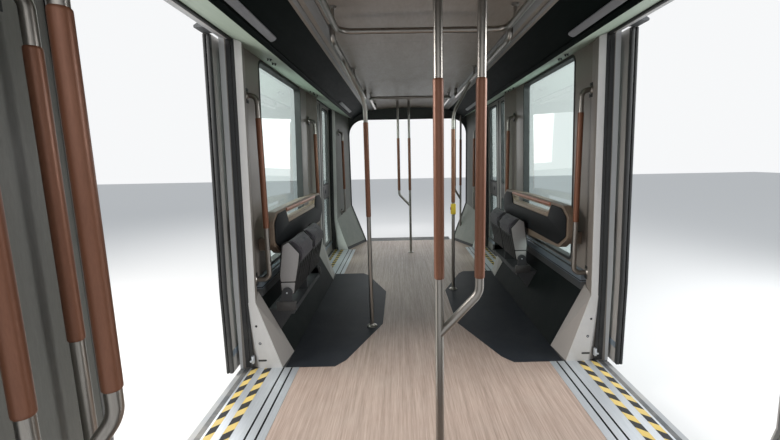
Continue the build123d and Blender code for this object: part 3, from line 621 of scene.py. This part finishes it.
def hanger(bm, x, y, z, reach):
    """A thin pin from a ceiling rail up to its flange on the ceiling."""
    turned(bm, at_floor(x, y, z), UP,
           [(0, 0.009), (reach, 0.009), (reach + 0.004, 0.020), (reach + 0.013, 0.022)], 12)


bm = bmesh.new()
for side in (-1, 1):
    x = side * HAND_X
    start = side * POLE[1] - 0.265
    pipe(bm, [at_floor(x, start, HAND_Z), at_floor(x, HAND_END, HAND_Z), at_floor(x, HAND_END, HAND_TOP)],
         0.045, TUBE)
    hanger(bm, x, 0, HAND_Z, 0.084)
for end in (-1, 1):
    bar = end * 1.330
    far = end * 2.440
    hoop = [(HOOP_X, far, HOOP_TOP), (HOOP_X, far, HOOP_Z), (HOOP_X, bar, HOOP_Z)]
    hoop += [(-x, y, z) for x, y, z in reversed(hoop)]
    pipe(bm, [at_floor(*corner) for corner in hoop], [0.050, 0.090, 0.090, 0.050], TUBE)
    for side in (-1, 1):
        hanger(bm, side * HOOP_X, end * 1.500, HOOP_Z, 0.068)
rails = place(bm, "ceiling_hand_rails", tube_steel)
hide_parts("ceiling_rails")

uprights = [(sx * x, sy * y) for (x, y), *_ in RAILS for sx in (-1, 1) for sy in (-1, 1)]
uprights += [(turn * x, turn * y) for turn in (1, -1) for x, y in (POLE, *FORK, *END_FORK)]
bm = bmesh.new()
for x, y in uprights:
    turned(bm, at_floor(x, y, 0), UP, SLEEVE)
sleeves = place(bm, "copper_sleeves", sleeve_copper)
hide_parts("rail_sleeves")


# Seats

# Across the tram from its middle, height above the floor: the pad's outline with the seat folded up
PAD = [(1.080, 0.507), (1.035, 0.507), (0.990, 0.690), (0.946, 0.694), (0.918, 0.712), (0.913, 0.772),
       (0.935, 0.828), (0.975, 0.866), (1.010, 0.866), (1.040, 0.838), (1.064, 0.760), (1.083, 0.600)]
SHELL = [(1.058, 0.842), (1.000, 0.868), (0.917, 0.770), (0.932, 0.680), (0.961, 0.550), (0.976, 0.452),
         (1.080, 0.452), (1.088, 0.600)]
# Light cover plates of a seat's ends, above and below their groove
COVERS = [[(1.046, 0.832), (1.003, 0.858), (0.926, 0.768), (0.940, 0.682), (0.967, 0.553), (1.076, 0.553),
           (1.080, 0.600)],
          [(0.969, 0.543), (0.983, 0.458), (1.073, 0.458), (1.076, 0.543)]]
PAN = [(0.933, 0.686), (0.946, 0.692), (0.988, 0.688), (1.033, 0.505), (1.080, 0.505), (1.080, 0.453),
       (0.977, 0.453), (0.962, 0.550)]
PAN_RIB = [(0.930, 0.676), (0.936, 0.690), (0.981, 0.470), (0.974, 0.466), (0.960, 0.550)]
SEAT_WIDTH = (0.930 - 0.016 - 0.010) / 2
SEAT_STARTS = (-0.900, -0.900 + SEAT_WIDTH + 0.026)
PAD_SIDE = 0.0245
PAD_WIDTH = SEAT_WIDTH - 2 * PAD_SIDE
HINGE_X, HINGE_Z = 1.030, 0.470
# Side of the tram and sense in which its seats are counted along it
SIDES = (("left", -1, 1), ("right", 1, -1))
# Both parts of a seat's name, its side, and its lower end along the tram
SEATS = [(side_name, where, side, min(along * start, along * (start + SEAT_WIDTH)))
         for side_name, side, along in SIDES for start, where in zip(SEAT_STARTS, ("outer", "inner"))]


def pad_mesh(width):
    """One seat pad, upholstered foam: a bevelled block that is remeshed and blown up a little."""
    bm = bmesh.new()
    face = bm.faces.new([bm.verts.new((x, 0.004, z)) for x, z in PAD])
    thickened(bm, [face], (0, width - 0.008, 0))
    rounded(bm, bm.edges[:], 0.010, 3)
    bmesh.ops.recalc_face_normals(bm, faces=bm.faces)
    return mesh_of(bm, "seat_pad_form")


def blown(mesh, cap):
    """Remeshes and inflates a pad with the Cloth solver, and caps how far a point may move."""
    scene = bpy.context.scene
    pad = stand("seat_pad_blown", mesh)
    bpy.context.view_layer.objects.active = pad

    def solved():
        return bpy.data.meshes.new_from_object(pad.evaluated_get(bpy.context.evaluated_depsgraph_get()))

    remesh = pad.modifiers.new("remesh", "REMESH")
    remesh.mode = "VOXEL"
    remesh.voxel_size = 0.0075
    even = solved()
    pad.modifiers.clear()
    pad.data = even
    rest = [v.co.copy() for v in even.vertices]
    cloth = pad.modifiers.new("cloth", "CLOTH")
    cloth.settings.use_pressure = True
    cloth.settings.uniform_pressure_force = 4
    cloth.settings.effector_weights.gravity = 0
    cloth.settings.tension_stiffness = 25
    for step in range(1, CLOTH_STEPS + 1):
        scene.frame_set(step)
    puffed = solved()
    pad.modifiers.clear()
    for vertex, before in zip(puffed.vertices, rest):
        move = vertex.co - before
        if move.length > cap:
            vertex.co = before + move * (cap / move.length)
    pad.data = puffed
    scene.frame_set(1)
    result = pad.data
    bpy.data.objects.remove(pad)
    return result


def groove(off, depth, reach):
    """Depth of a sewn groove at a distance from its middle."""
    return depth * max(0.0, 1 - abs(off) / reach)


def sew(mesh, width):
    """Sewn channels: the cover sinks along a line near each end and two lines across the upper side."""
    for vertex in mesh.vertices:
        x, y, z = vertex.co
        sink = groove(min(y, width - y) - 0.030, 0.003, 0.008)
        if x > 1.0:
            sink += groove(z - 0.600, 0.005, 0.010) + groove(z - 0.740, 0.005, 0.010)
        vertex.co -= vertex.normal * sink


fabric = finish("seat_fabric", (0.026, 0.022, 0.028), (0.046, 0.039, 0.049), 0.8, stretch=30, share=0.8,
                bump=0.0, dust=0.0, Sheen_Weight=0.2, Sheen_Roughness=0.5)
tree = fabric.node_tree
coords = add_node(tree, "ShaderNodeTexCoord")
threads = add_node(tree, "ShaderNodeGroup", node_tree=WEAVE, Vector=coords.outputs["Object"])
thread_bump = add_node(tree, "ShaderNodeBump", Strength=0.5, Distance=0.0006,
                       Height=threads.outputs["Height"])
put(tree, tree.nodes["Principled BSDF"].inputs["Normal"], thread_bump.outputs["Normal"])

pad_form = blown(pad_mesh(PAD_WIDTH), 0.006)
sew(pad_form, PAD_WIDTH)
for side_name, where, side, low in SEATS:
    bm = bmesh.new()
    bm.from_mesh(pad_form)
    for vertex in bm.verts:
        vertex.co.y += low + PAD_SIDE
        vertex.co.x *= side
        vertex.co.z += FLOOR
    pad = place(bm, f"seat_pad_{side_name}_{where}", fabric, f"seat_{side_name}_{where}", 60)
    pad.modifiers.new("smooth", "SUBSURF").levels = 1
    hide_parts(f"seat_cushion_{side_name}_{where}")


def plate(bm, side, outline, low, high, corner=0.0, round_by=0.0):
    """A plate of a seat on one side of the tram."""
    slab(bm, [(side * x, z) for x, z in outline], "Y", low, high, corner, round_by)


# Frames of the tip-up seats: black end plates and pan, with light covers on the ends
for side_name, where, side, low in SEATS:
    high = low + SEAT_WIDTH
    body = f"seat_{side_name}_{where}"
    bm = bmesh.new()
    plate(bm, side, SHELL, low + 0.003, low + 0.024, 0.014, 0.003)
    plate(bm, side, SHELL, high - 0.024, high - 0.003, 0.014, 0.003)
    plate(bm, side, PAN, low + 0.023, high - 0.023, 0.006)
    for rib in range(1, 6):
        y = low + SEAT_WIDTH * rib / 6
        plate(bm, side, PAN_RIB, y - 0.003, y + 0.003)
    frame_piece = place(bm, f"seat_frame_{side_name}_{where}", seat_black, body)
    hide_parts(f"seat_shell_{side_name}_{where}")
    bm = bmesh.new()
    for outline in COVERS:
        plate(bm, side, outline, low, low + 0.006, 0.006, 0.0015)
        plate(bm, side, outline, high - 0.006, high, 0.006, 0.0015)
    place(bm, f"seat_covers_{side_name}_{where}", shell_plastic, body)

# Bolts of the hinges, and the boxes on the beam's ends
for side_name, side, along in SIDES:
    bm = bmesh.new()
    caps = bmesh.new()
    for start, way in ((SEAT_STARTS[0] - 0.021, -1), (SEAT_STARTS[1] + SEAT_WIDTH + 0.021, 1)):
        turned(bm, at_floor(side * HINGE_X, along * start, HINGE_Z), (0, along * way, 0),
               [(0, 0.0065), (0.0045, 0.006), (0.0055, 0.0045)], 16)
        ends = sorted((along * (start + way * 0.010), along * (start - way * 0.016)))
        across = sorted((side * 0.966, side * 1.114))
        block(caps, at_floor(across[0], ends[0], 0.330), at_floor(across[1], ends[1], 0.404), 0.005)
    place(bm, f"hinge_bolts_{side_name}", sill_metal)
    place(caps, f"beam_caps_{side_name}", leaf_dark)


# Backrests

bm = bmesh.new()
# Half of the pad's outline, from the handle's slot round to its foot
pad_line = [(0.522, 0.952), (0.592, 1.068), (0.795, 1.064), (0.895, 1.004), (0.895, 0.855), (0.745, 0.767)]
slab(bm, pad_line + [(-y, z) for y, z in reversed(pad_line)], "X", 1.090, 1.101, 0.020, 0.004)
place(bm, "backrest_pads", backrest_black, copies="X")

bm = bmesh.new()
pipe(bm, [at_floor(1.107, -0.556, 1.066), at_floor(1.107, 0.556, 1.066)], 0.01, 0.0165, 16)
place(bm, "backrest_bars", handle_red, copies="X")

bm = bmesh.new()
lining = [(-0.560, 1.045), (0.560, 1.045), (0.510, 0.990), (-0.510, 0.990)]
for start, end in zip(lining, lining[1:] + lining[:1]):
    pipe(bm, [at_floor(1.102, *start), at_floor(1.102, *end)], 0.01, 0.0045, 8)
slab(bm, [(-0.510, 0.958), (0.510, 0.958), (0.513, 0.984), (-0.513, 0.984)], "X", 1.094, 1.102, 0.0, 0.002)
place(bm, "slot_linings", veneer, copies="X")


# Doors and doorposts

# Lead edge along the tram, way from it into the leaf, distance that the leaf stands out
LEAVES = [(-2.500, -1, 0.062), (-1.240, 1, 0.062), (1.867, -1, 0.0), (1.873, 1, 0.0)]
LEAF_WIDTH = 0.691
LEAF_THICK = 0.042
LEAF_FOOT, LEAF_TOP = 0.006, 2.246
# Heights of the panes, and how far from the leaf's edges they start
PANES = [(1.095, 2.190), (0.180, 0.890)]
PANE_SIDE = 0.130
rubbers = bmesh.new()
plates = bmesh.new()
rails = bmesh.new()
for lead, way, out in LEAVES:
    inside = out - LEAF_THICK
    proud = 0.013 if out else 0.0025
    skin = out - 0.001 if out else 0.003
    for near, far in ((inside - 0.004, inside + 0.018), (inside + 0.024, skin)):
        ends = sorted((lead - way * proud, lead + way * 0.017))
        block(rubbers, at_floor(near, ends[0], LEAF_FOOT), at_floor(far, ends[1], LEAF_TOP), 0.004)
    ends = sorted((lead + way * (LEAF_WIDTH - 0.006), lead + way * (LEAF_WIDTH + 0.003)))
    block(rubbers, at_floor(inside - 0.003, ends[0], LEAF_FOOT + 0.002),
          at_floor(skin, ends[1], LEAF_TOP - 0.002), 0.003)
    ends = sorted((lead + way * PANE_SIDE, lead + way * (LEAF_WIDTH - PANE_SIDE)))
    for low, high in PANES:
        gasket(rubbers, (ends[0], low), (ends[1], high), 0.030, 0.010, 0.012, inside - 0.003, skin)
    block(plates, at_floor(inside - 0.004, ends[0] - 0.012, 0.905),
          at_floor(inside + 0.001, ends[1] + 0.012, 1.080), 0.0015)
    ends = sorted((lead + way * 0.020, lead + way * (LEAF_WIDTH - 0.010)))
    block(rails, at_floor(inside - 0.006, ends[0], 0.118), at_floor(inside + 0.001, ends[1], 0.160), 0.002)
    block(rubbers, at_floor(inside + 0.004, ends[0], 0.0035), at_floor(out - 0.004, ends[1], 0.03), 0.003)
for piece in (rubbers, plates, rails):
    bow(piece)
place(rubbers, "leaf_rubbers", rubber_black, copies="X")
place(plates, "leaf_panels", leaf_dark, copies="X")
place(rails, "leaf_foot_rails", ledge_metal, copies="X")

BUTTON_Z = 0.993
bm = bmesh.new()
ring = bmesh.new()
for lead, way, out in LEAVES[1::2]:
    spot = at_floor(outer(BUTTON_Z) + out - LEAF_THICK - 0.004, lead + way * 0.276, BUTTON_Z)
    turned(bm, spot, (-1, 0, 0), [(0, 0.024), (0.005, 0.024), (0.008, 0.021), (0.009, 0.010)])
    turned(ring, spot, (-1, 0, 0), [(0, 0.034), (0.004, 0.033), (0.0055, 0.030), (0.003, 0.025)])
place(bm, "door_buttons", rubber_black, copies="X")
place(ring, "button_rings", frame_steel, copies="X")

# Window gaskets of the seat bay
bm = bmesh.new()
gasket(bm, (-0.650, 0.605), (0.650, 2.235), 0.060, 0.016, 0.006, -WALL - 0.002, -0.001)
bow(bm)
place(bm, "window_gaskets", rubber_black, copies="X")

# Black rubbers down the edges of the doorways
bm = bmesh.new()
for y in (BAY_POST - 0.007, END_POST + 0.001):
    for near, far in ((-WALL - 0.028, -WALL - 0.008), (-WALL - 0.006, -LEAF_THICK - 0.002)):
        block(bm, at_floor(near, y, LEAF_FOOT), at_floor(far, y + 0.006, 2.235), 0.002)
bow(bm)
place(bm, "doorway_rubbers", rubber_black, copies="XY")

# Screw holes, slots and step caps on the feet of the doorposts, whose front is at the bay posts' edge
FOOT_FRONT = -BAY_POST
bm = bmesh.new()
for x, z, radius in ((1.185, 0.317, 0.0075), (1.167, 0.187, 0.009)):
    turned(bm, at_floor(x, FOOT_FRONT - 0.0012, z), (0, 1, 0),
           [(0, radius), (0.0006, radius + 0.001), (0.0016, radius + 0.001)], 16)
slab(bm, [(1.128, 0.052), (1.188, 0.052), (1.188, 0.066), (1.128, 0.066)], "Y", FOOT_FRONT - 0.0012,
     FOOT_FRONT + 0.001, 0.006)
place(bm, "foot_holes", rubber_black, copies="XY")

bm = bmesh.new()
turned(bm, at_floor(1.167, FOOT_FRONT - 0.0015, 0.187), (0, 1, 0), [(0, 0.0035), (0.002, 0.0045)], 12)
block(bm, at_floor(1.213, FOOT_FRONT - 0.022, 0.045), at_floor(1.228, FOOT_FRONT + 0.002, 0.100), 0.002)
block(bm, at_floor(1.219, FOOT_FRONT - 0.030, 0.060), at_floor(1.238, FOOT_FRONT - 0.016, 0.072), 0.002)
place(bm, "foot_locks", sill_metal, copies="XY")

# Backing plates of the grab rails
bm = bmesh.new()
for (x, y), way, reach_low, reach_high, low, high in RAILS:
    for z, reach in ((low, reach_low), (high, reach_high)):
        turn = Matrix.Translation(at_floor(x, y, z) + way * (reach - 0.002)) @ facing(way)
        for v in block(bm, (-0.050, -0.024, -0.002), (0.050, 0.024, 0.002), 0.0015):
            v.co = turn @ v.co
place(bm, "rail_plates", rubber_black, copies="XY")

# Rubber and light edge strips over the doorways
bm = bmesh.new()
edge = bmesh.new()
for end in (-1, 1):
    low, high = sorted((end * (BAY_POST + 0.004), end * (END_POST - 0.004)))
    block(bm, at_floor(1.196, low, 2.226), at_floor(1.216, high, 2.243), 0.003)
    block(edge, at_floor(1.216, low, 2.232), at_floor(1.236, high, 2.246), 0.002)
place(bm, "doorway_seals", rubber_black, copies="X")
place(edge, "doorway_edges", trim_white, copies="X")


# Ceiling and ends

# Place across and height of a cove's outer and inner edge; the ceiling curves up from there to its middle
COVE_FOOT, COVE_HEAD, CEILING_TOP = (0.944, 2.147), (0.709, 2.282), 2.325

# Narrow lamps with round ends in the lower part of each cove, and the thick black lip beside them
cove_way = Vector((COVE_HEAD[0] - COVE_FOOT[0], 0, COVE_HEAD[1] - COVE_FOOT[1])).normalized()
cove_down = Vector((-cove_way.z, 0, cove_way.x))
lay = Matrix.Translation(at_floor(0.886, 0, 2.1803)) @ Matrix((cove_down, (0, 1, 0),
                                                               cove_way)).transposed().to_4x4()
bm = bmesh.new()
for end in (-1, 1):
    bar = bmesh.new()
    slab(bar, [(-0.530, -0.022), (0.530, -0.022), (0.530, 0.022), (-0.530, 0.022)], "X", 0.0, 0.011, 0.021,
         0.004)
    bmesh.ops.translate(bar, verts=bar.verts, vec=(0, end * DOOR_MIDDLE, -FLOOR))
    bmesh.ops.transform(bar, verts=bar.verts, matrix=lay)
    bm.from_mesh(mesh_of(bar, "lamp_form"))
lamps = place(bm, "cove_lamps", lamp_cover, copies="X")
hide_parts("lamp_bars")

bm = bmesh.new()
slab(bm, [(0.951, 2.146), (0.940, 2.139), (0.926, 2.142), (0.912, 2.156), (0.916, 2.164), (0.946, 2.150)],
     "Y", -END_PLANE + 0.004, END_PLANE - 0.004)
place(bm, "cove_lips", cove_gloss, copies="X")

# Long channels down the ceiling, and clips on the soffits
bm = bmesh.new()
for x, half, thick in ((0.607, 0.026, 0.007), (0.676, 0.012, 0.004)):
    z = CEILING_TOP - (CEILING_TOP - COVE_HEAD[1]) * (x / COVE_HEAD[0]) ** 2
    block(bm, at_floor(x - half, -END_PLANE + 0.01, z - thick - 0.001),
          at_floor(x + half, END_PLANE - 0.01, z + 0.003), 0.002, turn=Matrix.Rotation(0.103, 4, "Y"))
place(bm, "ceiling_channels", channel_paint, copies="X")

CLIP = [(0, 0.009), (0.004, 0.009), (0.006, 0.006), (0.016, 0.005)]
bm = bmesh.new()
for x, y in ((1.062, -0.830), (1.074, -0.680)):
    for nudge in (0.0, 0.028):
        z = 2.150 + (x + nudge - 0.946) * 0.35
        turned(bm, at_floor(x + nudge, y + nudge, z), (0.33, 0, -0.94), CLIP, 12)
place(bm, "soffit_clips", rubber_black, copies="XY")

# Rubber edge round each gangway portal
bm = bmesh.new()
edge = [(-0.775, 0.004), (-1.018, 0.6615), (-1.018, 2.137)]
edge += [(-x, z) for x, z in reversed(edge)]
pipe(bm, [at_floor(x, END_PLANE - 0.003, z) for x, z in edge], [0.03, 0.27, 0.27, 0.03], 0.011, 10)
place(bm, "portal_rubbers", rubber_black, copies="Y")

# Stop box on the right-hand pole
bm = bmesh.new()
block(bm, at_floor(0.398, 0.444, 0.850), at_floor(0.450, 0.504, 0.968), 0.008, 3)
place(bm, "stop_box", stop_yellow)
bm = bmesh.new()
turned(bm, at_floor(0.399, 0.474, 0.915), (-1, 0, 0),
       [(0, 0.017), (0.003, 0.017), (0.006, 0.014), (0.007, 0.008)])
place(bm, "stop_button", button_red)

# Ribs of the gangway bridges
bm = bmesh.new()
for rib in range(14):
    y = END_PLANE + 0.020 + rib * 0.020
    block(bm, at_floor(-0.725, y - 0.003, -0.001), at_floor(0.725, y + 0.003, 0.0022), 0.001)
place(bm, "bridge_ribs", bridge_metal, copies="Y")

# Roof unit: grilles on the top and louvres along the sides
UNIT_SIDE = 0.752
bm = bmesh.new()
for middle in (-0.95, 0, 0.95):
    for slat in range(17):
        y = middle - 0.32 + slat * 0.04
        block(bm, at_floor(-0.55, y - 0.011, 2.762), at_floor(0.55, y + 0.011, 2.774), 0.002)
    for x in (-UNIT_SIDE, UNIT_SIDE):
        for slat in range(9):
            y = middle - 0.32 + slat * 0.08
            block(bm, at_floor(x - 0.006, y - 0.026, 2.54), at_floor(x + 0.006, y + 0.026, 2.70), 0.004)
place(bm, "roof_grilles", frame_steel)
bm = bmesh.new()
for y in (-0.475, 0.475):
    block(bm, at_floor(-UNIT_SIDE, y - 0.012, 2.470), at_floor(UNIT_SIDE, y + 0.012, 2.7735), 0.003)
for x in (-0.62, 0.62):
    for y in (-1.40, 1.40):
        turned(bm, at_floor(x, y, 2.768), UP, [(0, 0.022), (0.004, 0.022), (0.008, 0.017)], 12)
place(bm, "roof_lid_bands", roof_paint)


# Light, floor and camera

def aim(holder, spot, turn):
    holder.location = spot
    holder.rotation_mode = "QUATERNION"
    holder.rotation_quaternion = turn


def lamp(name, spot, target, size, power, color=WHITE):
    light = bpy.data.lights.new(name, "AREA")
    light.shape = "RECTANGLE"
    light.size, light.size_y = size
    light.energy = power
    light.color = color
    aim(stand(name, light), spot, (Vector(target) - Vector(spot)).to_track_quat("-Z", "Y"))


bm = bmesh.new()
bmesh.ops.create_grid(bm, x_segments=1, y_segments=1, size=30)
mesh = mesh_of(bm, "studio_floor")
ground = stand("studio_floor", mesh)
ground.location.z = -0.001
pale = bpy.data.materials.new("studio_pale")
pale.use_nodes = True
pale_bsdf = pale.node_tree.nodes["Principled BSDF"]
pale_bsdf.inputs["Base Color"].default_value = (0.62, 0.61, 0.60, 1)
pale_bsdf.inputs["Roughness"].default_value = 0.9
mesh.materials.append(pale)
ground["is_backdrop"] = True

# The sky lights the tram a little less than it shows in the camera and through the panes
world = bpy.data.worlds.new("studio_world")
bpy.context.scene.world = world
world.use_nodes = True
tree = world.node_tree
sky = tree.nodes["Background"]
sky.inputs["Color"].default_value = (0.80, 0.86, 0.92, 1)
sky.inputs["Strength"].default_value = 0.85
seen = add_node(tree, "ShaderNodeBackground", Color=(0.93, 0.94, 0.95, 1), Strength=1.0)
path = add_node(tree, "ShaderNodeLightPath").outputs
kinds = calc(tree, "MAXIMUM", path["Is Camera Ray"], path["Is Glossy Ray"])
kinds = calc(tree, "MAXIMUM", kinds, path["Is Transmission Ray"])
mix = add_node(tree, "ShaderNodeMixShader", kinds, sky.outputs[0], seen.outputs[0])
put(tree, tree.nodes["World Output"].inputs["Surface"], mix.outputs[0])

lamp("left_daylight", (-5.0, -2.2, 3.6), (0, -1.6, 0.6), (3.5, 3.0), 420, (1.0, 0.98, 0.95))
lamp("right_daylight", (5.0, -1.8, 3.4), (0, -1.4, 0.6), (3.5, 3.0), 360, (0.97, 0.99, 1.0))
lamp("far_daylight", (0.0, 6.5, 2.4), (0, 0, 1.2), (2.5, 2.0), 22)
lamp("gangway_light", (0.0, -5.2, 2.6), (0, -1.5, 0.8), (1.6, 1.6), 5)
lamp("roof_light", (-3.0, 4.5, 7.5), (0, 0, 2.0), (4.0, 4.0), 300)

# Camera at the gangway mouth, as the photograph was taken
PHOTO_WIDTH = 780
FOCAL_PX = 399.7
PITCH, YAW, ROLL = radians(8.695), radians(0.524), radians(-1.078)
forward = Vector((sin(YAW) * cos(PITCH), cos(YAW) * cos(PITCH), -sin(PITCH)))
level = Vector((cos(YAW), -sin(YAW), 0))
upward = level.cross(forward)
right = level * cos(ROLL) + upward * sin(ROLL)
top = upward * cos(ROLL) - level * sin(ROLL)
camera = bpy.data.cameras.new("photo_camera")
camera.sensor_width = 36
camera.lens = FOCAL_PX / PHOTO_WIDTH * camera.sensor_width
camera.shift_x = -14.2 / PHOTO_WIDTH
camera.shift_y = -0.9 / PHOTO_WIDTH
camera.clip_start = 0.02
holder = stand("photo_camera", camera)
aim(holder, at_floor(-0.153, -3.856, 1.47), Matrix((right, top, -forward)).transposed().to_quaternion())
bpy.context.scene.camera = holder
bpy.context.scene.view_settings.view_transform = "Standard"

low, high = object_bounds()
